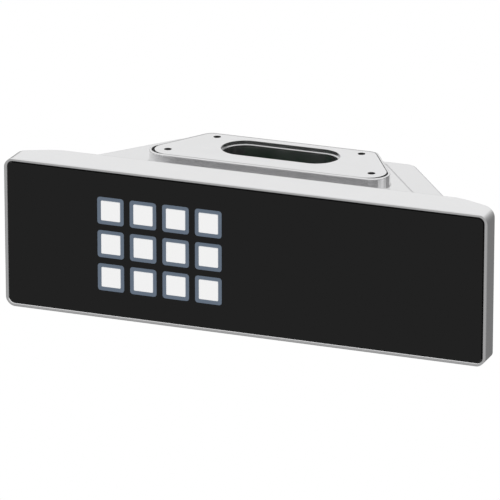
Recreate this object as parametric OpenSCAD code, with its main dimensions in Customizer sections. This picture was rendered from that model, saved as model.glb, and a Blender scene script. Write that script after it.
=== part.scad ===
// Operator panel for a support arm: a shallow aluminium frame with a black glass front, twelve
// short-stroke keys, a display behind the glass and a cast rear housing. The neck flange on top of
// the rear housing carries the panel and lets the cables in.
//
// Inside the modules x runs to the right, y from the glass to the back and z upwards, all from the
// centre of the glass. place() then moves each piece so that the origin is midway between the two
// front holes of the neck flange, on its seating face. All sizes are in millimetres.

/* [Front frame] */
// Width of the frame across the front
frame_w = 329.8; // [326:0.2:420]
// Height of the frame
frame_h = 101.3; // [100:0.1:140]
// Depth of the frame at its middle
frame_depth = 27.5; // [26:0.5:36]
// Depth of the frame at its two ends
frame_side_depth = 15; // [13:0.25:16]
// Corner radius of the frame seen from the front
frame_corner_r = 7.6; // [5:0.2:8]
// Rounding of the front edge
front_edge_r = 1; // [0.5:0.1:1.4]
// Rounding of the rear edge
rear_edge_r = 1; // [0.3:0.1:1.5]
// Slope of the rear shoulders from the frame's width line
shoulder_angle = 24; // [22:1:30]
// Radius where a shoulder runs into the straight back
shoulder_r = 45; // [20:1:50]
// Rounding where the short side runs into the shoulder
side_corner_r = 3; // [1:0.5:5]
// Width of the lip round the glass
lip_w = 2.8; // [2.6:0.1:4]
// Chamfer along the inner edge of the lip
lip_chamfer = 0.8; // [0.3:0.1:1]
// Wall thickness of the frame in front of the seal
frame_wall = 5; // [4.5:0.25:6]
// Wall thickness of the rim round the rear housing
rim_wall = 2.6; // [2:0.1:3]
// Distance from the side of the frame to the window behind the glass
window_side = 16.9; // [15:0.1:20]
// Distance from the top of the frame to the window behind the glass
window_top = 14.65; // [13:0.05:15]
// Thickness of the ledge that the glass is bonded to
ledge_t = 3; // [2:0.25:3.5]

/* [Front glass] */
// Thickness of the front glass
glass_t = 3; // [2:0.1:4]
// Gap between the glass and the lip
glass_gap = 0.2; // [0.1:0.05:0.4]
// Corner radius of the glass
glass_corner_r = 3.4; // [2:0.2:5]
// Thickness of the adhesive between the glass and the ledge
bond_t = 0.5; // [0.3:0.1:0.8]
// Distance from the adhesive's outer edge to the edge of the glass
bond_inset = 1.5; // [1:0.25:3]
// Width of the adhesive track
bond_w = 6; // [4:0.5:8]

/* [Keys] */
// Distance from key to key
key_pitch = 22.5; // [22:0.25:23.5]
// Outside size of a key housing in the glass
key_size = 18.3; // [15.2:0.05:19]
// Corner radius of a key housing
key_corner_r = 1.9; // [1:0.1:2.5]
// Size of a key cap
key_cap_size = 13.1; // [12.5:0.1:13.5]
// Gap between a key cap and its housing
key_cap_gap = 0.3; // [0.25:0.05:0.4]
// Gap between a key housing and the glass
key_glass_gap = 0.15; // [0.1:0.05:0.3]
// Travel of a key
key_travel = 0.8; // [0.5:0.1:1.2]
// Distance from the centre of the glass to the centre of the key block
key_block_x = -56.7; // [-60:0.1:-54]
// Width of a key housing's flange behind the glass
key_flange_w = 1.15; // [0.8:0.05:1.4]
// Flange of a key housing behind the glass, thickness
key_flange_t = 1.6; // [1:0.1:2]
// Depth of a key housing from the face of the glass to the key board
key_depth = 12; // [11.5:0.25:13]

/* [Display] */
// Width of the display tray
display_w = 144; // [130:1:144]
// Height of the display tray
display_h = 70; // [60:1:70]
// Distance from the centre of the glass to the centre of the display
display_x = 75; // [74:0.5:75]
// Thickness of the touch film
film_t = 0.5; // [0.3:0.1:0.8]
// Thickness of the display cell
cell_t = 2; // [1.5:0.1:2.5]
// Thickness of the display tray behind the cell
tray_t = 5; // [4:0.25:5.5]
// Rim of the tray round the cell
tray_rim = 1.5; // [1:0.25:3]

/* [Boards] */
// Thickness of the circuit boards
board_t = 1.6; // [1.2:0.2:2]
// Size of the key board beyond the outer keys
key_board_margin = [18.25, 11.5]; // [10:0.25:20]
// Gap between the key board and the carrier plate
key_board_gap = 3; // [2:0.5:4]
// Thickness of the carrier plate
carrier_t = 1.5; // [1:0.25:2]
// Distance from the side of the frame to the side of the carrier plate
carrier_side = 22.9; // [21:0.1:25]
// Distance from the top of the frame to the edge of the carrier plate between its ears
carrier_top = 16.65; // [15.5:0.05:19]
// Width of the main board
main_w = 190; // [180:1:196]
// Height of the main board
main_h = 60; // [52:1:62]
// Distance from the top of the hump to the upper edge of the main board
main_top = 9.7; // [9:0.1:12]
// Gap between the carrier plate and the main board
main_gap = 6; // [5:0.5:8]
// Diameter of the board screws
screw_d = 3; // [2.5:0.5:3]
// Running gap round a screw in a clearance hole
screw_gap = 0.1; // [0.05:0.05:0.2]

/* [Rear housing] */
// Thickness of the rear plate inside the frame
plate_t = 3; // [2.5:0.25:4]
// Gap between the rear plate and the rim of the frame
plate_gap = 0.25; // [0.15:0.05:0.4]
// Thickness of the rear seal
seal_t = 1; // [0.6:0.1:1.4]
// Distance from the side of the frame to the hump where it leaves the frame
hump_side = 30.4; // [28:0.1:33]
// Slope of the hump's side walls from the depth line
hump_angle = 36.2; // [34:0.2:38]
// Distance from the glass to the back of the hump
hump_back = 102; // [98:0.2:124]
// Distance from the top of the frame down to the top of the hump
hump_drop = 6.95; // [5.5:0.05:8]
// Distance from the underside of the frame up to the underside of the hump
hump_rise = 16.65; // [16:0.05:18]
// Corner radius of the hump at the back
hump_corner_r = 10; // [8:1:16]
// Rounding of the hump's upper and lower edges
hump_edge_r = 2; // [1:0.5:3]
// Wall thickness of the hump
hump_wall = 3.5; // [3:0.25:4]

/* [Neck flange] */
// Height of the seating face above the raised pad
neck_h = 8; // [6:0.2:12]
// Distance from the glass to the centre of the cable opening
neck_y = 68.5; // [67:0.5:70]
// Distance from the glass to the back of the flange
neck_back = 91.8; // [90:0.2:94]
// Slope of the flange's sides from the depth line
neck_angle = 30.5; // [28:0.5:32]
// Corner radius of the flange, front and back
neck_corner_r = [12, 8]; // [6:0.5:14]
// Rounding of the flange's upper edge
neck_edge_r = 0.6; // [0.4:0.1:1.4]
// Fillet at the foot of the flange
neck_foot_r = 1.4; // [0.8:0.2:3]
// Width of the rim round the seating face
neck_rim_w = 1.3; // [1.2:0.1:2.5]
// Width of the groove between the rim and the seating face
neck_groove_w = 0.5; // [0.3:0.1:1]
// Depth of that groove
neck_groove_depth = 3; // [0.6:0.1:3.5]
// How much wider the groove is round the two front corners
neck_groove_corner = 1.6; // [0:0.1:2]
// Height of the raised pad round the foot of the flange
pad_h = 1; // [0.5:0.1:1.5]
// Distance from the side of the hump to the side of the pad
pad_inset = 18.6; // [15:0.2:20]
// Distance from the glass to the front and to the back of the pad
pad_y = [40, 95.5]; // [38:0.5:97]
// Width of the relief groove round the pad
pad_groove_w = 1.4; // [0.8:0.1:1.8]
// Depth of the relief groove
pad_groove_depth = 0.8; // [0.4:0.1:1]
// Hole spacing of the front pair and of the rear pair
flange_hole_pitch = [140, 100]; // [96:1:142]
// Distance from the glass to the front pair and to the rear pair
flange_hole_y = [48, 84]; // [46:0.5:86]
// Diameter of the flange's tapped holes
flange_hole_d = 5; // [4:0.5:6]
// Depth of the flange's tapped holes
flange_hole_depth = 10; // [8:0.5:11]
// Cable opening at the seating face, length and width
opening_size = [80.4, 31.4]; // [28:0.2:84]
// Depth of the step in the cable opening
opening_step_depth = 2.8; // [1.5:0.1:4]
// Width of the step in the cable opening
opening_step_w = 1; // [0.5:0.1:2]

/* [Rear fasteners and fittings] */
// Diameter of the rear screws
rear_screw_d = 4; // [3:0.5:4]
// Diameter of the rear screws' heads
rear_head_d = 7; // [6:0.5:7]
// Thickness of the rear screws' heads
rear_head_t = 2.2; // [1.5:0.1:2.6]
// Distance from the side and from the top of the frame to an end screw
end_screw_inset = [11.9, 16.65]; // [11.5:0.05:18]
// Places of the lower screws along the width
lower_screw_x = [45, 115]; // [40:1:118]
// Distance from the underside of the frame up to the lower screws
lower_screw_rise = 10.65; // [10.2:0.05:11]
// Service cover on the back of the hump, width and height
service_cover_size = [108, 56]; // [50:1:112]
// Thickness of the service cover
service_cover_t = 2.5; // [2:0.25:4]
// Width of the service cover's screw border
service_border = 8; // [7:0.5:9]
// Length of the earth stud beyond its collar
earth_stud_len = 10.5; // [8:0.5:16]
// Thickness of the earth stud's collar
earth_collar_t = 3.5; // [2:0.5:5]
// Place of the vent plug on the underside of the hump, across and back
vent_place = [52, 66]; // [40:1:70]
// Diameter of the vent plug's thread
vent_d = 12; // [8:1:12]

/* [Hidden] */
eps = 0.01;
arc_steps = 10;
edge_steps = 6;
key_cols = 4;
key_rows = 3;
key_count = key_cols * key_rows;

KEY_CAPS = [for (i = [1:key_count]) str("key_cap_", i)];
KEY_PLUNGERS = [for (i = [1:key_count]) str("key_plunger_", i)];

// Colours
silver = [0.80, 0.80, 0.81];
black = [0.07, 0.07, 0.07];
key_blue = [0.32, 0.37, 0.43];
key_white = [0.93, 0.93, 0.93];
board_green = [0.10, 0.36, 0.20];
steel = [0.62, 0.63, 0.65];
brass = [0.78, 0.62, 0.30];
rubber = [0.15, 0.15, 0.16];
amber = [0.85, 0.60, 0.35];

// Front stack, each plane measured from the face of the glass
glass_w = frame_w - 2 * (lip_w + glass_gap);
glass_h = frame_h - 2 * (lip_w + glass_gap);
window_w = frame_w - 2 * window_side;
window_h = frame_h - 2 * window_top;
seat_y = glass_t + bond_t;
ledge_back = seat_y + ledge_t;
key_board_back = key_depth + board_t;
carrier_front = key_board_back + key_board_gap;
carrier_back = carrier_front + carrier_t;
main_front = carrier_back + main_gap;
main_back = main_front + board_t;
tray_back = glass_t + film_t + cell_t + tray_t;

// Keys
key_open = key_cap_size + 2 * key_cap_gap;
key_flange_size = key_size + 2 * key_flange_w;
key_shelf = 6.2;
key_shelf_open = 10.9;
cap_face_t = 1.6;
cap_skirt_t = 1.2;
plunger_plate_t = 1.6;
plunger_d = 3;
switch_size = 6.2;
switch_front = 8.2;
switch_bore_d = 3.7;
switch_bore_depth = 1.8;
dome_t = 0.3;
plunger_tip = switch_front + 0.3;
key_board_w = (key_cols - 1) * key_pitch + 2 * key_board_margin[0];
key_board_h = (key_rows - 1) * key_pitch + 2 * key_board_margin[1];
key_board_hole = [key_board_w / 2 - 4, key_board_h / 2 - 4];

// Rear housing, heights from the centre of the glass
hump_half_w = frame_w / 2 - hump_side;
hump_top = frame_h / 2 - hump_drop;
hump_bottom = hump_rise - frame_h / 2;
neck_top = hump_top + pad_h + neck_h;
service_cover_z = (hump_top + hump_bottom) / 2;
main_z = hump_top - main_top - main_h / 2;

// Posts for the carrier plate inside the frame
cavity_h = frame_h - 2 * frame_wall;
carrier_w = frame_w - 2 * carrier_side;
carrier_h = frame_h - 2 * carrier_top;
carrier_post_x = carrier_w / 2 - 4;
carrier_post_z = cavity_h / 2 - 3.25;
carrier_post_d = 7.5;
carrier_ear_w = 10;

// Spacers and screws of the boards
spacer_d = 6;
display_hole = [display_w / 2 - 6, display_h / 2 - 6];
main_hole = [main_w / 2 - 5, main_h / 2 - 5];
tapped_depth = 5;
pan_head_d = 5.4;
pan_head_t = 1.8;

// Flat cables and their slots in the carrier plate
cable_x = 58;
cable_w = 22;
cable_t = 0.4;
cable_slot_z = -20;
cable_slot_h = 12;

// Parts on the main board, places across the width
processor_x = 16;
processor_size = 27;
processor_t = 2.2;
pad_t = 0.5;
sink_size = 44;
sink_base_t = 4;
sink_height = 16;
sink_fins = 8;
fin_t = 1.4;
terminal_x = -70;
socket_x = [-43, -24];
socket_size = [16, 14, 15];

// Rear housing
rear_head_seat_t = 3;
end_seat_y = frame_side_depth + 1.7;
end_screw = [frame_w / 2 - end_screw_inset[0], frame_h / 2 - end_screw_inset[1]];
lower_screw_z = lower_screw_rise - frame_h / 2;
lower_seat_y = frame_depth - plate_t;
end_boss_d = 11;
lower_boss_d = 9;
head_clear = 0.5;
rear_hole_d = rear_screw_d + 0.4;
hump_start = frame_depth - plate_t - 4;
service_open = [service_cover_size[0] - 2 * service_border, service_cover_size[1] - 2 * service_border];
service_hole = [service_cover_size[0] / 2 - 4, service_cover_size[1] / 2 - 4];
service_seal_t = 1;
earth_place = [80, lower_screw_z - 0.5];
earth_d = 5;
earth_thread_d = 6;
vent_head_d = 17;

// Moves a piece from the glass-centred drawing to the panel's own frame
module place() translate([0, -flange_hole_y[0], -neck_top]) children();

// Extrudes a width-by-height outline from one depth to another
module along_y(y0, y1) translate([0, y1, 0]) rotate([90, 0, 0]) linear_extrude(y1 - y0) children();

// Extrudes a width-by-depth outline from one height to another
module along_z(z0, z1) translate([0, 0, z0]) linear_extrude(z1 - z0) children();

// Cylinder that runs in depth, at a place across the width and up
module rod(x, z, y0, y1, d) translate([x, y1, z]) rotate([90, 0, 0]) cylinder(h = y1 - y0, d = d, $fn = 32);

// Points of an arc round c
function arc(c, r, a0, a1, n = arc_steps) =
    [for (i = [0:n]) let (a = a0 + (a1 - a0) * i / n) [c[0] + r * cos(a), c[1] + r * sin(a)]];

// A right half outline, listed from front to back, joined to its mirror image
function both_halves(half) =
    concat(half, [for (i = [len(half) - 1:-1:0]) [-half[i][0], half[i][1]]]);

// Rectangle round the origin with rounded corners
function rounded_points(w, h, r) =
    let (x = w / 2 - r, z = h / 2 - r, n = r < 2.5 ? 4 : arc_steps)
    concat(arc([x, z], r, 0, 90, n), arc([-x, z], r, 90, 180, n),
           arc([-x, -z], r, 180, 270, n), arc([x, -z], r, 270, 360, n));
module rounded_rect(w, h, r) polygon(rounded_points(w, h, r));

// Calls the children once for each key, at its place on the glass
module at_keys() for (i = [1:key_count]) at_key(i) children();
module at_key(i) {
    column = (i - 1) % key_cols;
    row = floor((i - 1) / key_cols);
    translate([key_block_x + (column - (key_cols - 1) / 2) * key_pitch, 0,
               ((key_rows - 1) / 2 - row) * key_pitch]) children();
}

// Calls the children at the four corners of a rectangle round (x, z)
module at_corners(half, x = 0, z = 0)
    for (sx = [-1, 1], sz = [-1, 1]) translate([x + sx * half[0], 0, z + sz * half[1]]) children();

// Calls the children at the carrier plate's six posts
module at_carrier_posts()
    for (x = [-carrier_post_x, 0, carrier_post_x], z = [-carrier_post_z, carrier_post_z])
        translate([x, 0, z]) children();

// Calls the children at the four end screws and at the four lower screws
module at_end_screws() at_corners(end_screw) children();
module at_lower_screws()
    for (x = lower_screw_x, side = [-1, 1]) translate([side * x, 0, lower_screw_z]) children();

// Plan of the frame seen from above: straight front, short sides, sloping shoulders, straight back
function frame_plan() =
    let (half = frame_w / 2,
         y_bend = frame_depth - shoulder_r * (1 - cos(shoulder_angle)),
         x_bend = half - (y_bend - frame_side_depth) / tan(shoulder_angle),
         x_arc = x_bend - shoulder_r * sin(shoulder_angle))
    both_halves(concat(
        arc([half - front_edge_r, front_edge_r], front_edge_r, -90, 0, edge_steps),
        arc([half - side_corner_r, frame_side_depth - side_corner_r * tan(45 - shoulder_angle / 2)],
            side_corner_r, 0, 90 - shoulder_angle, edge_steps),
        arc([x_arc, frame_depth - shoulder_r], shoulder_r, 90 - shoulder_angle, 90)));

// Everything behind the frame's rear surface moved forward by d
module behind_plan(d) difference() {
    translate([-frame_w, 0]) square([2 * frame_w, frame_depth + 10]);
    translate([0, -d]) polygon(frame_plan());
}

// Side view of the frame: depth by height, with rounded long edges
module frame_profile() {
    z = frame_h / 2;
    right = concat(arc([front_edge_r, -z + front_edge_r], front_edge_r, 180, 270, edge_steps),
                   arc([frame_depth - rear_edge_r, -z + rear_edge_r], rear_edge_r, 270, 360, 4));
    polygon(concat(right, [for (i = [len(right) - 1:-1:0]) [right[i][0], -right[i][1]]]));
}

// Outer form of the frame without any hollow
module frame_body() intersection() {
    along_y(-eps, frame_depth + eps) rounded_rect(frame_w, frame_h, frame_corner_r);
    along_z(-frame_h, frame_h) polygon(frame_plan());
    rotate([90, 0, 90]) linear_extrude(2 * frame_w, center = true) frame_profile();
}

// Cutter for the chamfer round the inner edge of the lip
module lip_bevel() {
    reach = [for (d = [-0.5, lip_chamfer + eps])
        rounded_points(glass_w + 2 * (glass_gap + d), glass_h + 2 * (glass_gap + d),
                       glass_corner_r + glass_gap + d)];
    rotate([90, 0, 0]) skin(reach, [-lip_chamfer - 0.5, eps]);
}

// Aluminium frame: lip, ledge for the glass, walls, and posts for the plate and the rear screws
module front_frame() color(silver) place() {
    difference() {
        union() {
            difference() {
                frame_body();
                along_y(-1, seat_y)
                    rounded_rect(glass_w + 2 * glass_gap, glass_h + 2 * glass_gap,
                                 glass_corner_r + glass_gap);
                lip_bevel();
                along_y(seat_y - 1, ledge_back + 1) rounded_rect(window_w, window_h, 4);
                along_y(ledge_back, frame_depth + 10)
                    rounded_rect(frame_w - 2 * frame_wall, frame_h - 2 * frame_wall, 3);
                intersection() {
                    along_y(ledge_back, frame_depth + 10)
                        rounded_rect(frame_w - 2 * rim_wall, frame_h - 2 * rim_wall, 3.4);
                    along_z(-frame_h, frame_h) behind_plan(plate_t + seal_t);
                }
            }
            at_carrier_posts() rod(0, 0, ledge_back - 1, carrier_front, carrier_post_d);
            at_end_screws() rod(0, 0, ledge_back - 1, end_seat_y - rear_head_seat_t, 7);
            at_lower_screws() rod(0, 0, ledge_back - 1, lower_seat_y - rear_head_seat_t - 1, 8);
        }
        at_carrier_posts() rod(0, 0, ledge_back, carrier_front + 1, screw_d);
        at_end_screws() rod(0, 0, ledge_back - 1.5, end_seat_y, rear_screw_d);
        at_lower_screws() rod(0, 0, ledge_back, lower_seat_y, rear_screw_d);
    }
}

// Black glass, set flush in the lip, with one opening for each key
module front_glass() color(black) place() along_y(0, glass_t) difference() {
    rounded_rect(glass_w, glass_h, glass_corner_r);
    key_outlines() rounded_rect(key_size + 2 * key_glass_gap, key_size + 2 * key_glass_gap,
                                key_corner_r + key_glass_gap);
}

// Repeats a flat outline at every key
module key_outlines() for (i = [0:key_count - 1])
    translate([key_block_x + (i % key_cols - (key_cols - 1) / 2) * key_pitch,
               ((key_rows - 1) / 2 - floor(i / key_cols)) * key_pitch]) children();

// Adhesive track between the glass and the ledge
module glass_bond() color(rubber) place() along_y(glass_t, seat_y) difference() {
    rounded_rect(glass_w - 2 * bond_inset, glass_h - 2 * bond_inset, 2.4);
    rounded_rect(glass_w - 2 * (bond_inset + bond_w), glass_h - 2 * (bond_inset + bond_w), 1);
}

// Clear touch sensor, laminated to the back of the glass
module touch_film() color(amber) place() translate([display_x, 0, 0])
    along_y(glass_t, glass_t + film_t) rounded_rect(display_w, display_h, 1);

// Display cell behind the touch film
module display_cell() color(black) place() translate([display_x, 0, 0])
    along_y(glass_t + film_t, glass_t + film_t + cell_t)
        rounded_rect(display_w - 2 * tray_rim, display_h - 2 * tray_rim, 0.5);

// Metal tray with the back light, which holds the cell round its edge
module display_tray() color(steel) place() translate([display_x, 0, 0]) difference() {
    along_y(glass_t + film_t, tray_back) rounded_rect(display_w, display_h, 1);
    along_y(glass_t, glass_t + film_t + cell_t)
        rounded_rect(display_w - 2 * tray_rim, display_h - 2 * tray_rim, 0.5);
    at_corners(display_hole) rod(0, 0, tray_back - 3, tray_back + 1, screw_d);
}

// Four spacers from the tray back to the carrier plate
module display_spacers() color(brass) place() at_corners(display_hole, display_x) difference() {
    rod(0, 0, tray_back, carrier_front, spacer_d);
    rod(0, 0, tray_back - 1, carrier_front + 1, screw_d + 2 * screw_gap);
}

// Screw with a pan head and a hexagon socket: the head's seat is at y, the shank points forward
module pan_screw(seat, shank, d = screw_d, head_d = pan_head_d, head_t = pan_head_t) {
    difference() {
        rod(0, 0, seat, seat + head_t, head_d);
        translate([0, seat + head_t + eps, 0]) rotate([90, 0, 0])
            cylinder(h = head_t * 0.6, d = d * 0.72, $fn = 6);
    }
    rod(0, 0, seat - shank, seat, d);
}

// Screws through the carrier plate and the spacers into the tray
module display_screws() color(steel) place() at_corners(display_hole, display_x)
    pan_screw(carrier_back, carrier_back - tray_back + 2.5);

// Key housings: a blue-grey square tube each, flush with the glass, with a flange behind it
module key_housings() color(key_blue) place() at_keys() difference() {
    union() {
        along_y(0, key_depth) rounded_rect(key_size, key_size, key_corner_r);
        along_y(glass_t, glass_t + key_flange_t)
            rounded_rect(key_flange_size, key_flange_size, 1);
    }
    along_y(-1, key_shelf) rounded_rect(key_open, key_open, 0.5);
    along_y(key_shelf - 1, key_depth + 1) rounded_rect(key_shelf_open, key_shelf_open, 0.5);
}

// Key cap: a square face with a skirt that slides in the key housing
module key_cap(i) color(key_white) place() at_key(i) {
    skirt_back = key_shelf - key_travel - 0.4;
    difference() {
        along_y(0, skirt_back) rounded_rect(key_cap_size, key_cap_size, 0.5);
        along_y(cap_face_t, skirt_back + 1)
            rounded_rect(key_cap_size - 2 * cap_skirt_t, key_cap_size - 2 * cap_skirt_t, 0.3);
    }
}

// Plunger: a square plate under the cap's face and a round stem that ends in the switch
module key_plunger(i) color(key_white) place() at_key(i) {
    plate = key_shelf_open - 2 * key_cap_gap;
    along_y(cap_face_t, cap_face_t + plunger_plate_t) rounded_rect(plate, plate, 0.3);
    rod(0, 0, cap_face_t + plunger_plate_t - 0.5, plunger_tip, plunger_d);
}

// Switch cases on the key board, open to the front for the plungers
module switch_cases() color(rubber) place() at_keys() difference() {
    along_y(switch_front, key_depth) rounded_rect(switch_size, switch_size, 0.6);
    rod(0, 0, switch_front - 1, switch_front + switch_bore_depth, switch_bore_d);
}

// Metal snap domes at the bottom of the switches
module snap_domes() color(steel) place() at_keys()
    rod(0, 0, switch_front + switch_bore_depth - dome_t, switch_front + switch_bore_depth,
        switch_bore_d - 0.2);

// Two lights beside each switch
module key_lights() color(key_white) place() at_keys() for (side = [-1, 1])
    translate([side * 4.3, 0, 0]) along_y(key_depth - 1.1, key_depth) square([1.6, 3.2], center = true);

// Key board
module key_board() color(board_green) place() translate([key_block_x, 0, 0]) difference() {
    along_y(key_depth, key_board_back) rounded_rect(key_board_w, key_board_h, 1.5);
    at_corners(key_board_hole)
        rod(0, 0, key_depth - 1, key_board_back + 1, screw_d + 2 * screw_gap);
}

// Spacers between the key board and the carrier plate
module key_board_spacers() color(brass) place() at_corners(key_board_hole, key_block_x) difference() {
    rod(0, 0, key_board_back, carrier_front, spacer_d);
    rod(0, 0, key_board_back - 1, carrier_front + 1, screw_d + 2 * screw_gap);
}

// Screws through the carrier plate and the key board, held by a nut in front of the board
module key_board_screws() color(steel) place() at_corners(key_board_hole, key_block_x) {
    pan_screw(carrier_back, carrier_back - key_depth + 2.6);
    translate([0, key_depth, 0]) rotate([90, 0, 0]) difference() {
        cylinder(h = 2.2, d = 6, $fn = 6);
        translate([0, 0, -1]) cylinder(h = 5, d = screw_d + 2 * screw_gap, $fn = 32);
    }
}

// Carrier plate: sheet with six ears, slots for the flat cables and clearance holes
module carrier_plate() color(steel) place() difference() {
    along_y(carrier_front, carrier_back) union() {
        rounded_rect(carrier_w, carrier_h, 2);
        for (x = [-carrier_post_x, 0, carrier_post_x], side = [-1, 1])
            translate([x, side * carrier_post_z / 2])
                square([carrier_ear_w - (x == 0 ? 0 : 2), carrier_post_z + 6], center = true);
    }
    for (x = [key_block_x, cable_x]) translate([x, 0, 0])
        along_y(carrier_front - 1, carrier_back + 1)
            translate([0, cable_slot_z]) square([cable_w + 4, cable_slot_h], center = true);
    at_carrier_posts() rod(0, 0, carrier_front - 1, carrier_back + 1, screw_d + 2 * screw_gap);
    at_corners(display_hole, display_x)
        rod(0, 0, carrier_front - 1, carrier_back + 1, screw_d + 2 * screw_gap);
    at_corners(key_board_hole, key_block_x)
        rod(0, 0, carrier_front - 1, carrier_back + 1, screw_d + 2 * screw_gap);
    at_corners(main_hole, 0, main_z)
        rod(0, 0, carrier_front - 1, carrier_back + 1, screw_d);
}

// Screws of the carrier plate
module carrier_screws() color(steel) place() at_carrier_posts() pan_screw(carrier_back, 8);

// Flat cable: one end lies on the face at y0, the other end on the face at y1
module flat_cable(y0, y1) translate([-cable_w / 2, 0, 0]) rotate([90, 0, 90]) linear_extrude(cable_w)
    polygon([[y0, -6], [y0 + cable_t, -6], [y0 + cable_t, -14], [y1, -24], [y1, -25],
             [y1 - cable_t, -25], [y1 - cable_t, -24.2], [y0, -14.2]]);

// Flat cable from the key board to the main board
module key_flat_cable() color(amber) place() translate([key_block_x, 0, 0])
    flat_cable(key_board_back, main_front);

// Flat cable from the display to the main board
module display_flat_cable() color(amber) place() translate([cable_x, 0, 0])
    flat_cable(tray_back, main_front);

// Main board
module main_board() color(board_green) place() difference() {
    along_y(main_front, main_back) translate([0, main_z]) rounded_rect(main_w, main_h, 1.5);
    at_corners(main_hole, 0, main_z)
        rod(0, 0, main_front - 1, main_back + 1, screw_d + 2 * screw_gap);
}

// Tapped spacers pressed into the carrier plate
module main_board_spacers() color(brass) place() at_corners(main_hole, 0, main_z) difference() {
    union() {
        rod(0, 0, carrier_back, main_front, spacer_d);
        rod(0, 0, carrier_front, carrier_back + 1, screw_d);
    }
    rod(0, 0, main_front - tapped_depth, main_front + 1, 2.5);
}

// Screws of the main board
module main_board_screws() color(steel) place() at_corners(main_hole, 0, main_z)
    pan_screw(main_back, board_t + tapped_depth - 0.5, d = 2.5, head_d = 4.6);

// Processor package on the back of the main board
module processor() color(rubber) place() translate([processor_x, 0, main_z])
    along_y(main_back, main_back + processor_t) rounded_rect(processor_size, processor_size, 0.8);

// Thermal pad between the processor and the heat sink
module thermal_pad() color(key_white) place() translate([processor_x, 0, main_z])
    along_y(main_back + processor_t, main_back + processor_t + pad_t)
        rounded_rect(processor_size - 1, processor_size - 1, 0.5);

// Heat sink: a base with upright fins
module heat_sink() color(silver) place() translate([processor_x, 0, main_z]) {
    base_y = main_back + processor_t + pad_t;
    fin_step = (sink_size - fin_t) / (sink_fins - 1);
    along_y(base_y, base_y + sink_height) {
        intersection() {
            rounded_rect(sink_size, sink_size, 1);
            for (k = [0:sink_fins - 1])
                translate([-sink_size / 2 + k * fin_step, -sink_size / 2]) square([fin_t, sink_size]);
        }
    }
    along_y(base_y, base_y + sink_base_t) rounded_rect(sink_size, sink_size, 1);
}

// Three-way terminal for the supply
module power_terminal() color([0.25, 0.45, 0.25]) place() translate([terminal_x, 0, main_z]) difference() {
    along_y(main_back, main_back + 12) rounded_rect(18, 12, 0.8);
    for (k = [-1:1]) {
        rod(k * 5.08, -2.5, main_back + 5, main_back + 13, 3.4);
        rod(k * 5.08, 3, main_back + 8, main_back + 13, 2.8);
    }
}

// Two network sockets, open to the back
module network_sockets() color(steel) place() for (x = socket_x) translate([x, 0, main_z]) difference() {
    along_y(main_back, main_back + socket_size[2]) rounded_rect(socket_size[0], socket_size[1], 0.5);
    along_y(main_back + 3, main_back + socket_size[2] + 1) union() {
        square([11.8, 8.6], center = true);
        translate([0, -5]) square([6, 3.4], center = true);
    }
}

// Points of the hump's plan, moved outward by d at the sides and the back
function hump_plan(d, front = hump_start) =
    let (n = [cos(hump_angle), sin(hump_angle)],
         reach = n[0] * hump_half_w + n[1] * frame_depth + d,
         r = hump_corner_r + d,
         cy = hump_back - hump_corner_r,
         cx = (reach - r - n[1] * cy) / n[0])
    both_halves(concat([[(reach - n[1] * front) / n[0], front]],
                       arc([cx, cy], r, hump_angle, 90)));

// Points of the raised pad's plan, moved outward by d
function pad_plan(d) =
    let (n = [cos(hump_angle), sin(hump_angle)],
         reach = n[0] * hump_half_w + n[1] * frame_depth - pad_inset,
         rb = 3,
         yf = pad_y[0] - d,
         yb = pad_y[1] - rb)
    both_halves(concat([[(reach + d - n[1] * yf) / n[0], yf]],
        arc([(reach - rb - n[1] * yb) / n[0], yb], rb + d, hump_angle, 90, 4)));

// Points of the neck flange's plan, moved outward by d, with front corners of radius rf before that
function neck_plan(d, rf = neck_corner_r[0]) =
    let (n = [cos(neck_angle), sin(neck_angle)],
         hole = [flange_hole_pitch[0] / 2, flange_hole_y[0]],
         reach = n * hole + neck_corner_r[0],
         yf = hole[1] - neck_corner_r[0] + rf,
         yb = neck_back - neck_corner_r[1])
    both_halves(concat(
        arc([(reach - rf - n[1] * yf) / n[0], yf], rf + d, -90, neck_angle, 12),
        arc([(reach - neck_corner_r[1] - n[1] * yb) / n[0], yb], neck_corner_r[1] + d,
            neck_angle, 90, 8)));

// Closed skin through outlines of equal length, each with its own height
module skin(outlines, heights) {
    n = len(outlines[0]);
    m = len(outlines);
    points = [for (j = [0:m - 1]) for (p = outlines[j]) [p[0], p[1], heights[j]]];
    sides = [for (j = [0:m - 2]) for (i = [0:n - 1]) let (k = (i + 1) % n)
        [j * n + i, (j + 1) * n + i, (j + 1) * n + k, j * n + k]];
    polyhedron(points, concat([[for (i = [0:n - 1]) i]], sides,
                              [[for (i = [n - 1:-1:0]) (m - 1) * n + i]]), convexity = 6);
}

// Quarter-round steps: how far an edge of radius 1 is cut back, and how high it stands
quarter = [for (i = [0:edge_steps]) let (a = 90 * i / edge_steps) [1 - cos(a), sin(a)]];

// Hump with rounded upper and lower edges
module hump_form() {
    upper = [for (q = quarter) [-hump_edge_r * q[0], hump_top - hump_edge_r + hump_edge_r * q[1]]];
    lower = [for (i = [edge_steps:-1:0]) let (q = quarter[i])
        [-hump_edge_r * q[0], hump_bottom + hump_edge_r - hump_edge_r * q[1]]];
    steps = concat(lower, upper);
    skin([for (s = steps) hump_plan(s[0])], [for (s = steps) s[1]]);
}

// Raised pad on the hump
module pad_form() {
    steps = [[0, hump_top - 1], [0, hump_top + pad_h - 0.6], [-0.2, hump_top + pad_h - 0.15],
             [-0.6, hump_top + pad_h]];
    skin([for (s = steps) pad_plan(s[0])], [for (s = steps) s[1]]);
}

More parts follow.
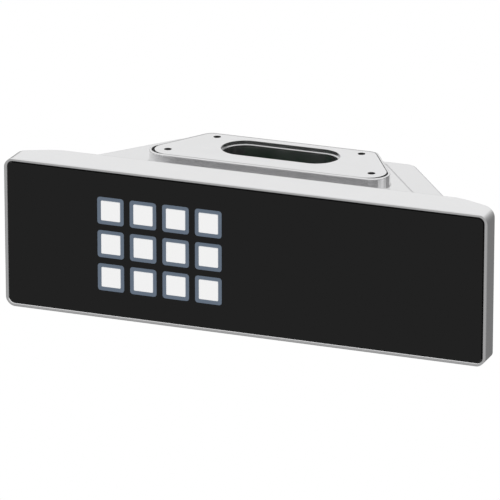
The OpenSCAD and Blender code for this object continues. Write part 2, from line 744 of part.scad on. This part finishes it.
// Neck with a filleted foot and a rounded upper edge
module neck_form() {
    foot_z = hump_top + pad_h;
    foot = [for (i = [0:edge_steps]) let (a = 90 * i / edge_steps)
        [neck_foot_r * (1 - sin(a)), foot_z + neck_foot_r * (1 - cos(a))]];
    upper = [for (q = quarter) [-neck_edge_r * q[0], neck_top - neck_edge_r + neck_edge_r * q[1]]];
    steps = concat([[neck_foot_r, hump_top - 1]], foot, upper);
    skin([for (s = steps) neck_plan(s[0])], [for (s = steps) s[1]]);
}

// Groove between the rim of the neck and the seating face
module neck_groove() along_z(neck_top - neck_groove_depth, neck_top + 1) difference() {
    polygon(neck_plan(-neck_rim_w));
    polygon(neck_plan(-neck_rim_w - neck_groove_w, neck_corner_r[0] + neck_groove_corner));
}

// Relief groove in the hump round the raised pad
module pad_groove() along_z(hump_top - pad_groove_depth, hump_top + 1) difference() {
    polygon(pad_plan(pad_groove_w));
    polygon(pad_plan(-0.5));
}

// Obround outline round the centre of the cable opening
module obround(size) translate([0, neck_y]) {
    square([size[0] - size[1], size[1]], center = true);
    for (side = [-1, 1]) translate([side * (size[0] - size[1]) / 2, 0]) circle(d = size[1], $fn = 48);
}

// Rear plate that follows the frame's rear surface, with a boss at each screw
module rear_plate() {
    intersection() {
        along_y(0, frame_depth)
            rounded_rect(frame_w - 2 * (rim_wall + plate_gap), frame_h - 2 * (rim_wall + plate_gap), 3.1);
        along_z(-frame_h, frame_h) difference() {
            polygon(frame_plan());
            translate([0, -plate_t]) polygon(frame_plan());
        }
    }
    intersection() {
        union() {
            at_end_screws() rod(0, 0, end_seat_y - rear_head_seat_t, frame_depth, end_boss_d);
            at_lower_screws() rod(0, 0, lower_seat_y - rear_head_seat_t - 1, frame_depth, lower_boss_d);
        }
        along_z(-frame_h, frame_h) polygon(frame_plan());
    }
}

// Room inside the hump, open to the front
module hump_hollow() {
    along_z(hump_bottom + hump_wall, hump_top - hump_wall) polygon(hump_plan(-hump_wall, front = 5));
}

// Opening through the neck, with a step below the seating face
module cable_opening() {
    along_z(neck_top - opening_step_depth, neck_top + 1) obround(opening_size);
    along_z(hump_top - hump_wall - 1, neck_top)
        obround([opening_size[0] - 2 * opening_step_w, opening_size[1] - 2 * opening_step_w]);
}

// Four tapped holes in the seating face
module flange_holes() for (pair = [0, 1], side = [-1, 1])
    translate([side * flange_hole_pitch[pair] / 2, flange_hole_y[pair], neck_top - flange_hole_depth])
        cylinder(h = flange_hole_depth + 1, d = flange_hole_d, $fn = 32);

// Cast rear housing: rear plate, hump, pad and neck flange in one piece
module rear_housing() color(silver) place() difference() {
    union() {
        rear_plate();
        intersection() {
            union() {
                difference() {
                    hump_form();
                    pad_groove();
                }
                pad_form();
            }
            translate([-frame_w, frame_depth - plate_t, -frame_h])
                cube([2 * frame_w, hump_back, 2 * frame_h]);
        }
        neck_form();
    }
    hump_hollow();
    cable_opening();
    neck_groove();
    flange_holes();
    at_end_screws() {
        rod(0, 0, 5, frame_depth, rear_hole_d);
        rod(0, 0, end_seat_y, frame_depth + 1, rear_head_d + 2 * head_clear);
    }
    at_lower_screws() {
        rod(0, 0, 5, frame_depth, rear_hole_d);
        rod(0, 0, lower_seat_y, frame_depth + 1, rear_head_d + 2 * head_clear);
    }
    along_y(hump_back - hump_wall - 1, hump_back + 1) translate([0, service_cover_z])
        rounded_rect(service_open[0], service_open[1], 4);
    at_service_screws() rod(0, 0, hump_back - hump_wall - 1, hump_back + 1, screw_d);
    rod(earth_place[0], earth_place[1], frame_depth - plate_t - 1, frame_depth + 1, earth_thread_d);
    translate([vent_place[0], vent_place[1], hump_bottom - 1])
        cylinder(h = hump_wall + 2, d = vent_d, $fn = 48);
}

// Seal between the frame's rear step and the rear plate
module rear_seal() color(rubber) place() intersection() {
    along_y(0, frame_depth) difference() {
        rounded_rect(frame_w - 2 * (rim_wall + plate_gap), frame_h - 2 * (rim_wall + plate_gap), 3.1);
        rounded_rect(frame_w - 2 * frame_wall, frame_h - 2 * frame_wall, 3);
    }
    along_z(-frame_h, frame_h) difference() {
        translate([0, -plate_t]) polygon(frame_plan());
        translate([0, -plate_t - seal_t]) polygon(frame_plan());
    }
}

// Screws that hold the rear housing to the frame
module rear_screws() color(steel) place() {
    at_end_screws() rear_screw(end_seat_y);
    at_lower_screws() rear_screw(lower_seat_y);
}
module rear_screw(seat) pan_screw(seat, 8, d = rear_screw_d, head_d = rear_head_d, head_t = rear_head_t);

// Calls the children at the service cover's six screws
module at_service_screws() for (x = [-1:1], side = [-1, 1])
    translate([x * service_hole[0], 0, service_cover_z + side * service_hole[1]]) children();

// Seal under the service cover
module service_seal() color(rubber) place() difference() {
    along_y(hump_back, hump_back + service_seal_t) translate([0, service_cover_z]) difference() {
        rounded_rect(service_cover_size[0] - 1, service_cover_size[1] - 1, 4.5);
        rounded_rect(service_open[0], service_open[1], 4);
    }
    at_service_screws() rod(0, 0, hump_back - 1, hump_back + 3, screw_d + 2 * screw_gap);
}

// Flat service cover with rounded corners
module service_cover() color(silver) place() difference() {
    along_y(hump_back + service_seal_t, hump_back + service_seal_t + service_cover_t)
        translate([0, service_cover_z]) rounded_rect(service_cover_size[0], service_cover_size[1], 5);
    at_service_screws() rod(0, 0, hump_back, hump_back + 10, screw_d + 2 * screw_gap);
}

// Screws of the service cover
module service_screws() color(steel) place() at_service_screws()
    pan_screw(hump_back + service_seal_t + service_cover_t, service_seal_t + service_cover_t + hump_wall);

// Earth stud: threaded through the rear plate from inside, with a hexagon collar behind the plate
module earth_stud() color(brass) place() translate([earth_place[0], 0, earth_place[1]]) {
    plate_front = frame_depth - plate_t;
    collar_back = frame_depth + earth_collar_t;
    rod(0, 0, plate_front - 1.5, plate_front, 9);
    rod(0, 0, plate_front - 1.5, frame_depth + 1, earth_thread_d);
    translate([0, collar_back, 0]) rotate([90, 0, 0]) cylinder(h = earth_collar_t, d = 9.2, $fn = 6);
    rod(0, 0, collar_back - 1, collar_back + earth_stud_len, earth_d);
}

// Vent plug that lets the housing breathe, screwed into the underside of the hump
module vent_plug() color(rubber) place() translate([vent_place[0], vent_place[1], hump_bottom]) {
    cylinder(h = hump_wall + 2, d = vent_d, $fn = 48);
    translate([0, 0, -2]) cylinder(h = 2, d = vent_head_d, $fn = 6);
    translate([0, 0, -6]) cylinder(h = 4, d = vent_head_d - 3.5, $fn = 48);
}

front_frame();
front_glass();
glass_bond();
touch_film();
display_cell();
display_tray();
display_spacers();
display_screws();
key_housings();
for (i = [1:key_count]) key_cap(i);
for (i = [1:key_count]) key_plunger(i);
switch_cases();
snap_domes();
key_lights();
key_board();
key_board_spacers();
key_board_screws();
carrier_plate();
carrier_screws();
key_flat_cable();
display_flat_cable();
main_board();
main_board_spacers();
main_board_screws();
processor();
thermal_pad();
heat_sink();
power_terminal();
network_sockets();
rear_seal();
rear_housing();
rear_screws();
service_seal();
service_cover();
service_screws();
earth_stud();
vent_plug();
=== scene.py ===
import math

import bmesh
import bpy
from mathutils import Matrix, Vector


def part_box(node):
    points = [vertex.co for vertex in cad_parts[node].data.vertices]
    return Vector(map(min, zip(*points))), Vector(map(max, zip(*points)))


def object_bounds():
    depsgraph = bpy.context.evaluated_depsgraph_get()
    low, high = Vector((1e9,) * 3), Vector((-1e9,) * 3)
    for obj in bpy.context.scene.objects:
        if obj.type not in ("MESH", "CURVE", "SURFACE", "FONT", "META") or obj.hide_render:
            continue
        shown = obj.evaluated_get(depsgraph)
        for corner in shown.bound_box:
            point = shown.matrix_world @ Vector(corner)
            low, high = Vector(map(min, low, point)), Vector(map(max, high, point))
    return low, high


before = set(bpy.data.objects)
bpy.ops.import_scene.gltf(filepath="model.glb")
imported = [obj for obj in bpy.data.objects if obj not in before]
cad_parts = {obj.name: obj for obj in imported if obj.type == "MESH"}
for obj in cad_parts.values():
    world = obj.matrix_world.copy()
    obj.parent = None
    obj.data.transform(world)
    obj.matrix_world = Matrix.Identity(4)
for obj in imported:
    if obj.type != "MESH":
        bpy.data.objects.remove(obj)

CAD_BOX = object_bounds()
MM = 0.001

# Camera, as the photograph's: the aim is measured from the centre of the front glass
CAMERA_AZIMUTH = 21.307
CAMERA_ELEVATION = 18.718
CAMERA_DISTANCE = 3.49875
CAMERA_LENS = 396.0
AIM_RIGHT = 5.652 * MM
AIM_UP = 8.294 * MM

# Studio: a floor disc below the panel and a backdrop sphere round it
FLOOR_DROP = 0.30
FLOOR_RADIUS = 6.0
BACKDROP_RADIUS = 8.0
PAPER_WHITE = (1.0, 1.0, 1.0, 1.0)

# Tapped holes of the neck flange in the part's frame: places, radius, and the depth to which
# their faces get painted shade
FLANGE_HOLES = [(0.070, 0.0), (-0.070, 0.0), (0.050, 0.036), (-0.050, 0.036)]
BORE_RADIUS = 2.7 * MM
BORE_DEPTH = 11 * MM

# Rounding of the service cover, its screws and the vent plug
SOFT_EDGE = 0.3 * MM
SOFT_EDGE_SEGMENTS = 3
SOFT_EDGE_ANGLE = 34

# Colours, linear
ALUMINIUM = (0.84, 0.84, 0.845)
CAST_ALUMINIUM = (0.83, 0.83, 0.835)
KEY_BLUE = (0.185, 0.24, 0.32)
KEY_WHITE = (0.90, 0.90, 0.90)
GLASS_BLACK = (0.0045, 0.0045, 0.0045)
# Painted highlight: the paler aluminium that convex edges are lightened towards
EDGE_HIGHLIGHT_ALUMINIUM = (0.93, 0.93, 0.93, 1.0)
MASK_GREEN = (0.045, 0.20, 0.085)

# Brightness of the light behind the key caps
KEY_GLOW = 0.34


# ---------------------------------------------------------------- node helpers

class Material:
    """A Principled material with short helpers for its procedural nodes."""

    def __init__(self, name):
        self.mat = bpy.data.materials.new(name)
        self.mat.use_nodes = True
        self.nodes = self.mat.node_tree.nodes
        self.links = self.mat.node_tree.links
        self.shader = self.nodes["Principled BSDF"]
        self.coords = self.nodes.new("ShaderNodeTexCoord").outputs["Object"]

    def add(self, kind, **inputs):
        node = self.nodes.new(kind)
        for key, value in inputs.items():
            socket = node.inputs[key.replace("_", " ")]
            if isinstance(value, bpy.types.NodeSocket):
                self.links.new(value, socket)
            else:
                socket.default_value = value
        return node

    def set(self, **inputs):
        for key, value in inputs.items():
            socket = self.shader.inputs[key.replace("_", " ")]
            if isinstance(value, bpy.types.NodeSocket):
                self.links.new(value, socket)
            else:
                socket.default_value = value

    def noise(self, size, detail=2.0, stretch=None):
        """Noise whose features are about size metres across, from 0 to 1."""
        vector = self.coords
        if stretch:
            mapping = self.add("ShaderNodeMapping", Vector=vector, Scale=stretch)
            vector = mapping.outputs["Vector"]
        node = self.add("ShaderNodeTexNoise", Vector=vector, Scale=1 / size, Detail=detail)
        return node.outputs["Fac"]

    def spread(self, value, low, high, start=0.3, end=0.7):
        """Maps start..end of a value to low..high."""
        node = self.add("ShaderNodeMapRange", Value=value, From_Min=start, From_Max=end,
                        To_Min=low, To_Max=high)
        return node.outputs["Result"]

    def tint(self, colour, value, dark, light):
        """The colour, darkened to dark and lightened to light as the value goes from 0 to 1."""
        node = self.nodes.new("ShaderNodeMix")
        node.data_type = "RGBA"
        self.links.new(value, node.inputs["Factor"])
        ends = [tuple(min(1.0, c * k) for c in colour) + (1.0,) for k in (dark, light)]
        for socket, end in zip([s for s in node.inputs if s.type == "RGBA"], ends):
            socket.default_value = end
        return [s for s in node.outputs if s.type == "RGBA"][0]

    def bump(self, height, strength, distance, below=None):
        node = self.add("ShaderNodeBump", Height=height, Strength=strength, Distance=distance)
        if below:
            self.links.new(below, node.inputs["Normal"])
        return node.outputs["Normal"]


def assign(material, *names):
    """Gives a material to CAD nodes."""
    for name in names:
        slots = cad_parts[name].data.materials
        slots.clear()
        slots.append(material.mat)


# ---------------------------------------------------------------- materials

def blasted_metal(name, colour, rough, grain=0.35 * MM, depth=0.02 * MM):
    """Sand-blasted and anodised aluminium: fine even grain, with a painted highlight that makes
    its edges slightly brighter.
    """
    m = Material(name)
    fine = m.noise(grain, 3.0)
    cloud = m.noise(18 * MM, 2.0)
    body = m.tint(colour, m.spread(fine, 0.0, 1.0, 0.25, 0.75), 0.965, 1.02)
    # Painted highlight: convex edges, found by pointiness, are mixed towards a paler aluminium
    edges = m.nodes.new("ShaderNodeNewGeometry").outputs["Pointiness"]
    edge_highlight = m.nodes.new("ShaderNodeMix")
    edge_highlight.data_type = "RGBA"
    m.links.new(m.spread(edges, 0.0, 0.25, 0.53, 0.62), edge_highlight.inputs["Factor"])
    colours = [s for s in edge_highlight.inputs if s.type == "RGBA"]
    m.links.new(body, colours[0])
    colours[1].default_value = EDGE_HIGHLIGHT_ALUMINIUM
    m.set(Base_Color=[s for s in edge_highlight.outputs if s.type == "RGBA"][0], Metallic=1.0,
          Roughness=m.spread(cloud, rough - 0.02, rough + 0.03),
          Normal=m.bump(fine, 0.25, depth))
    return m


def brushed_metal(name, colour, rough):
    """Metal with fine lines that run along x."""
    m = Material(name)
    lines = m.noise(0.25 * MM, 2.0, stretch=(0.05, 1.0, 1.0))
    m.set(Base_Color=m.tint(colour, lines, 0.92, 1.05), Metallic=1.0,
          Roughness=m.spread(lines, rough - 0.06, rough + 0.08),
          Normal=m.bump(lines, 0.1, 0.01 * MM))
    return m


def moulded(name, colour, rough, grain=0.25 * MM, variation=0.04, strength=0.2):
    """Moulded plastic or rubber with a fine spark-eroded grain."""
    m = Material(name)
    fine = m.noise(grain, 2.0)
    cloud = m.noise(9 * MM, 2.0)
    m.set(Base_Color=m.tint(colour, cloud, 1 - variation, 1 + variation),
          Roughness=m.spread(fine, rough - 0.05, rough + 0.06),
          Normal=m.bump(fine, strength, 0.015 * MM))
    return m


def front_glass_material():
    """Glossy glass printed black on its back, with a faint unevenness in the polish."""
    m = Material("black_glass")
    cloud = m.noise(60 * MM, 2.0)
    m.set(Base_Color=m.tint(GLASS_BLACK, cloud, 0.97, 1.03),
          Roughness=m.spread(cloud, 0.07, 0.10), IOR=1.42,
          Normal=m.bump(m.noise(40 * MM, 1.0), 0.02, 0.02 * MM))
    return m


def key_cap_material():
    """White satin key cap, lit evenly from behind."""
    m = Material("key_white")
    fine = m.noise(0.2 * MM, 2.0)
    m.set(Base_Color=m.tint(KEY_WHITE, fine, 0.985, 1.01), Roughness=m.spread(fine, 0.42, 0.52),
          Emission_Color=m.tint((0.96, 0.96, 0.96), m.noise(7 * MM, 1.0), 0.99, 1.01),
          Normal=m.bump(fine, 0.1, 0.01 * MM))
    m.shader.inputs["Emission Strength"].default_value = KEY_GLOW
    return m


def board_material(name):
    """Circuit board: green mask over faint copper tracks."""
    m = Material(name)
    tracks = m.noise(2.2 * MM, 0.0, stretch=(1.0, 1.0, 0.2))
    body = m.tint(MASK_GREEN, m.spread(tracks, 0.0, 1.0, 0.48, 0.52), 0.8, 1.25)
    m.set(Base_Color=body,
          Roughness=m.spread(m.noise(0.4 * MM), 0.34, 0.42),
          Normal=m.bump(tracks, 0.15, 0.03 * MM))
    return m


def make_materials():
    blasted = blasted_metal("frame_aluminium", ALUMINIUM, 0.22)
    cast = blasted_metal("housing_aluminium", CAST_ALUMINIUM, 0.23, grain=0.4 * MM)
    cover = blasted_metal("cover_aluminium", (0.78, 0.78, 0.79), 0.42, grain=0.3 * MM)
    steel = brushed_metal("screw_steel", (0.60, 0.60, 0.61), 0.30)
    sheet = brushed_metal("carrier_steel", (0.58, 0.59, 0.60), 0.36)
    brass = brushed_metal("spacer_brass", (0.72, 0.55, 0.25), 0.32)
    seal = moulded("seal_black", (0.03, 0.03, 0.03), 0.75, grain=0.5 * MM, strength=0.5)
    black = moulded("moulded_black", (0.035, 0.035, 0.035), 0.5)
    amber = moulded("cable_amber", (0.62, 0.34, 0.08), 0.35, grain=1.0 * MM)
    board = board_material("board_green")
    assign(blasted, "front_frame")
    assign(cast, "rear_housing")
    assign(cover, "service_cover")
    assign(steel, "display_screws", "key_board_screws", "carrier_screws", "main_board_screws",
           "rear_screws", "service_screws")
    assign(sheet, "display_tray", "carrier_plate", "snap_domes", "network_sockets")
    assign(brass, "display_spacers", "key_board_spacers", "main_board_spacers", "earth_stud")
    assign(seal, "rear_seal", "service_seal", "glass_bond")
    assign(black, "switch_cases", "processor", "vent_plug")
    assign(amber, "key_flat_cable", "display_flat_cable", "touch_film")
    assign(board, "key_board", "main_board")
    assign(front_glass_material(), "front_glass")
    assign(moulded("display_glass", (0.02, 0.02, 0.025), 0.15, grain=2 * MM, strength=0.02),
           "display_cell")
    assign(moulded("key_blue", KEY_BLUE, 0.42), "key_housings")
    assign(moulded("led_white", (0.85, 0.80, 0.55), 0.4), "key_lights")
    assign(moulded("thermal_grey", (0.35, 0.38, 0.42), 0.7), "thermal_pad")
    assign(brushed_metal("sink_aluminium", (0.62, 0.63, 0.65), 0.35), "heat_sink")
    assign(moulded("terminal_green", (0.05, 0.26, 0.11), 0.45), "power_terminal")
    # Painted shade: the faces inside the flange holes get a near-black metal
    bore_shade = brushed_metal("painted_bore_shade", (0.10, 0.10, 0.10), 0.5)
    shade_bores("rear_housing", bore_shade)
    caps = key_cap_material()
    plungers = moulded("plunger_clear", (0.80, 0.83, 0.85), 0.3)
    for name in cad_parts:
        if name.startswith("key_cap_"):
            assign(caps, name)
        elif name.startswith("key_plunger_"):
            assign(plungers, name)


def shade_bores(node_name, material):
    """Gives a node's faces inside the flange holes a second material, dark as painted shade in
    the holes.
    """
    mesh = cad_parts[node_name].data
    mesh.materials.append(material.mat)
    for face in mesh.polygons:
        corners = [mesh.vertices[i].co for i in face.vertices]
        for x, y in FLANGE_HOLES:
            if all(c.z > -BORE_DEPTH and math.hypot(c.x - x, c.y - y) < BORE_RADIUS
                   for c in corners):
                face.material_index = 1


# ---------------------------------------------------------------- edges of the CAD pieces

def soften(name):
    """Small rounding on a CAD node's sharp edges."""
    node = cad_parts[name]
    bevel = node.modifiers.new("soft_edges", "BEVEL")
    bevel.width = SOFT_EDGE
    bevel.segments = SOFT_EDGE_SEGMENTS
    bevel.limit_method = "ANGLE"
    bevel.angle_limit = math.radians(SOFT_EDGE_ANGLE)
    bevel.harden_normals = False
    bevel.use_clamp_overlap = True


# ---------------------------------------------------------------- studio

def stage_object(name, mesh, material):
    """A floor or backdrop: the camera sees it, and it neither lights nor shades the panel."""
    obj = bpy.data.objects.new(name, mesh)
    bpy.context.scene.collection.objects.link(obj)
    mesh.materials.append(material)
    for ray in ("diffuse", "glossy", "transmission", "volume_scatter", "shadow"):
        setattr(obj, "visible_" + ray, False)
    return obj


def pale_paper(name, one_sided):
    """Evenly lit white paper. Seen from behind, a one-sided sheet is clear."""
    mat = bpy.data.materials.new(name)
    mat.use_nodes = True
    nodes, links = mat.node_tree.nodes, mat.node_tree.links
    nodes.clear()
    glow = nodes.new("ShaderNodeEmission")
    glow.inputs["Color"].default_value = PAPER_WHITE
    out = nodes.new("ShaderNodeOutputMaterial")
    if not one_sided:
        links.new(glow.outputs[0], out.inputs["Surface"])
        return mat
    mix = nodes.new("ShaderNodeMixShader")
    links.new(nodes.new("ShaderNodeNewGeometry").outputs["Backfacing"], mix.inputs[0])
    links.new(glow.outputs[0], mix.inputs[1])
    links.new(nodes.new("ShaderNodeBsdfTransparent").outputs[0], mix.inputs[2])
    links.new(mix.outputs[0], out.inputs["Surface"])
    return mat


def make_studio():
    low = CAD_BOX[0]
    mesh = bpy.data.meshes.new("floor")
    shape = bmesh.new()
    bmesh.ops.create_circle(shape, cap_ends=True, segments=64, radius=FLOOR_RADIUS)
    shape.to_mesh(mesh)
    shape.free()
    floor = stage_object("floor", mesh, pale_paper("floor_paper", True))
    floor.location = (0, 0, low.z - FLOOR_DROP)
    mesh = bpy.data.meshes.new("backdrop")
    shape = bmesh.new()
    bmesh.ops.create_uvsphere(shape, u_segments=32, v_segments=16, radius=BACKDROP_RADIUS)
    shape.to_mesh(mesh)
    shape.free()
    stage_object("backdrop", mesh, pale_paper("backdrop_paper", False))


# Brightness of the room: above the horizon, below it in front, and below it behind
ROOM_ABOVE = 1.14
ROOM_BELOW_FRONT = 0.52
ROOM_BELOW_BACK = 0.25
# Heights between which the lower part runs into the upper part
ROOM_HORIZON = (-0.10, 0.22)
# The dark corner behind on the right: how it sets in to the right and to the back, the height
# where it runs out, and the share of the brightness that is left in it
ROOM_RIGHT = (0.12, 0.45)
ROOM_BEHIND = (0.1, 0.6)
ROOM_RIGHT_HEIGHT = (0.45, 0.75)
ROOM_RIGHT_SHARE = 0.30


def make_room_light():
    """Soft room light: a bright ceiling and walls over a darker floor, and one darker corner."""
    world = bpy.data.worlds.new("room")
    bpy.context.scene.world = world
    world.use_nodes = True
    nodes, links = world.node_tree.nodes, world.node_tree.links
    nodes.clear()

    def spread(value, start, end, low, high, smooth=False):
        node = nodes.new("ShaderNodeMapRange")
        if smooth:
            node.interpolation_type = "SMOOTHSTEP"
        links.new(value, node.inputs["Value"])
        ends = {"From Min": start, "From Max": end, "To Min": low, "To Max": high}
        for key, number in ends.items():
            node.inputs[key].default_value = number
        return node.outputs["Result"]

    def multiply(a, b):
        node = nodes.new("ShaderNodeMath")
        node.operation = "MULTIPLY"
        links.new(a, node.inputs[0])
        links.new(b, node.inputs[1])
        return node.outputs[0]

    parts = nodes.new("ShaderNodeSeparateXYZ")
    links.new(nodes.new("ShaderNodeTexCoord").outputs["Generated"], parts.inputs[0])
    lower = spread(parts.outputs["Y"], -1.0, 0.6, ROOM_BELOW_FRONT, ROOM_BELOW_BACK)
    level = nodes.new("ShaderNodeMix")
    floats = [socket for socket in level.inputs if socket.type == "VALUE"]
    links.new(spread(parts.outputs["Z"], *ROOM_HORIZON, 0.0, 1.0, smooth=True), floats[0])
    links.new(lower, floats[1])
    aside = spread(parts.outputs["X"], *ROOM_RIGHT, 0.0, 1.0, smooth=True)
    behind = spread(parts.outputs["Y"], *ROOM_BEHIND, 0.0, 1.0, smooth=True)
    low_enough = spread(parts.outputs["Z"], *ROOM_RIGHT_HEIGHT, 1.0, 0.0, smooth=True)
    corner = multiply(multiply(aside, behind), low_enough)
    links.new(spread(corner, 0.0, 1.0, ROOM_ABOVE, ROOM_ABOVE * ROOM_RIGHT_SHARE), floats[2])
    glow = nodes.new("ShaderNodeBackground")
    links.new(level.outputs[0], glow.inputs["Strength"])
    links.new(glow.outputs[0], nodes.new("ShaderNodeOutputWorld").inputs["Surface"])


def make_camera():
    low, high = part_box("front_glass")
    glass = Vector(((low.x + high.x) / 2, low.y, (low.z + high.z) / 2))
    target = glass + Vector((AIM_RIGHT, 0, AIM_UP))
    a, e = math.radians(CAMERA_AZIMUTH), math.radians(CAMERA_ELEVATION)
    back = Vector((math.sin(a) * math.cos(e), -math.cos(a) * math.cos(e), math.sin(e)))
    data = bpy.data.cameras.new("camera")
    data.lens = CAMERA_LENS
    data.sensor_width = 36.0
    data.clip_end = 40.0
    camera = bpy.data.objects.new("camera", data)
    bpy.context.scene.collection.objects.link(camera)
    camera.location = target + CAMERA_DISTANCE * back
    camera.rotation_mode = "QUATERNION"
    camera.rotation_quaternion = (-back).to_track_quat("-Z", "Y")
    bpy.context.scene.camera = camera


make_materials()
for node_name in ("service_cover", "vent_plug", "service_screws"):
    soften(node_name)
make_camera()
make_studio()
make_room_light()
bpy.context.scene.view_settings.view_transform = "Standard"
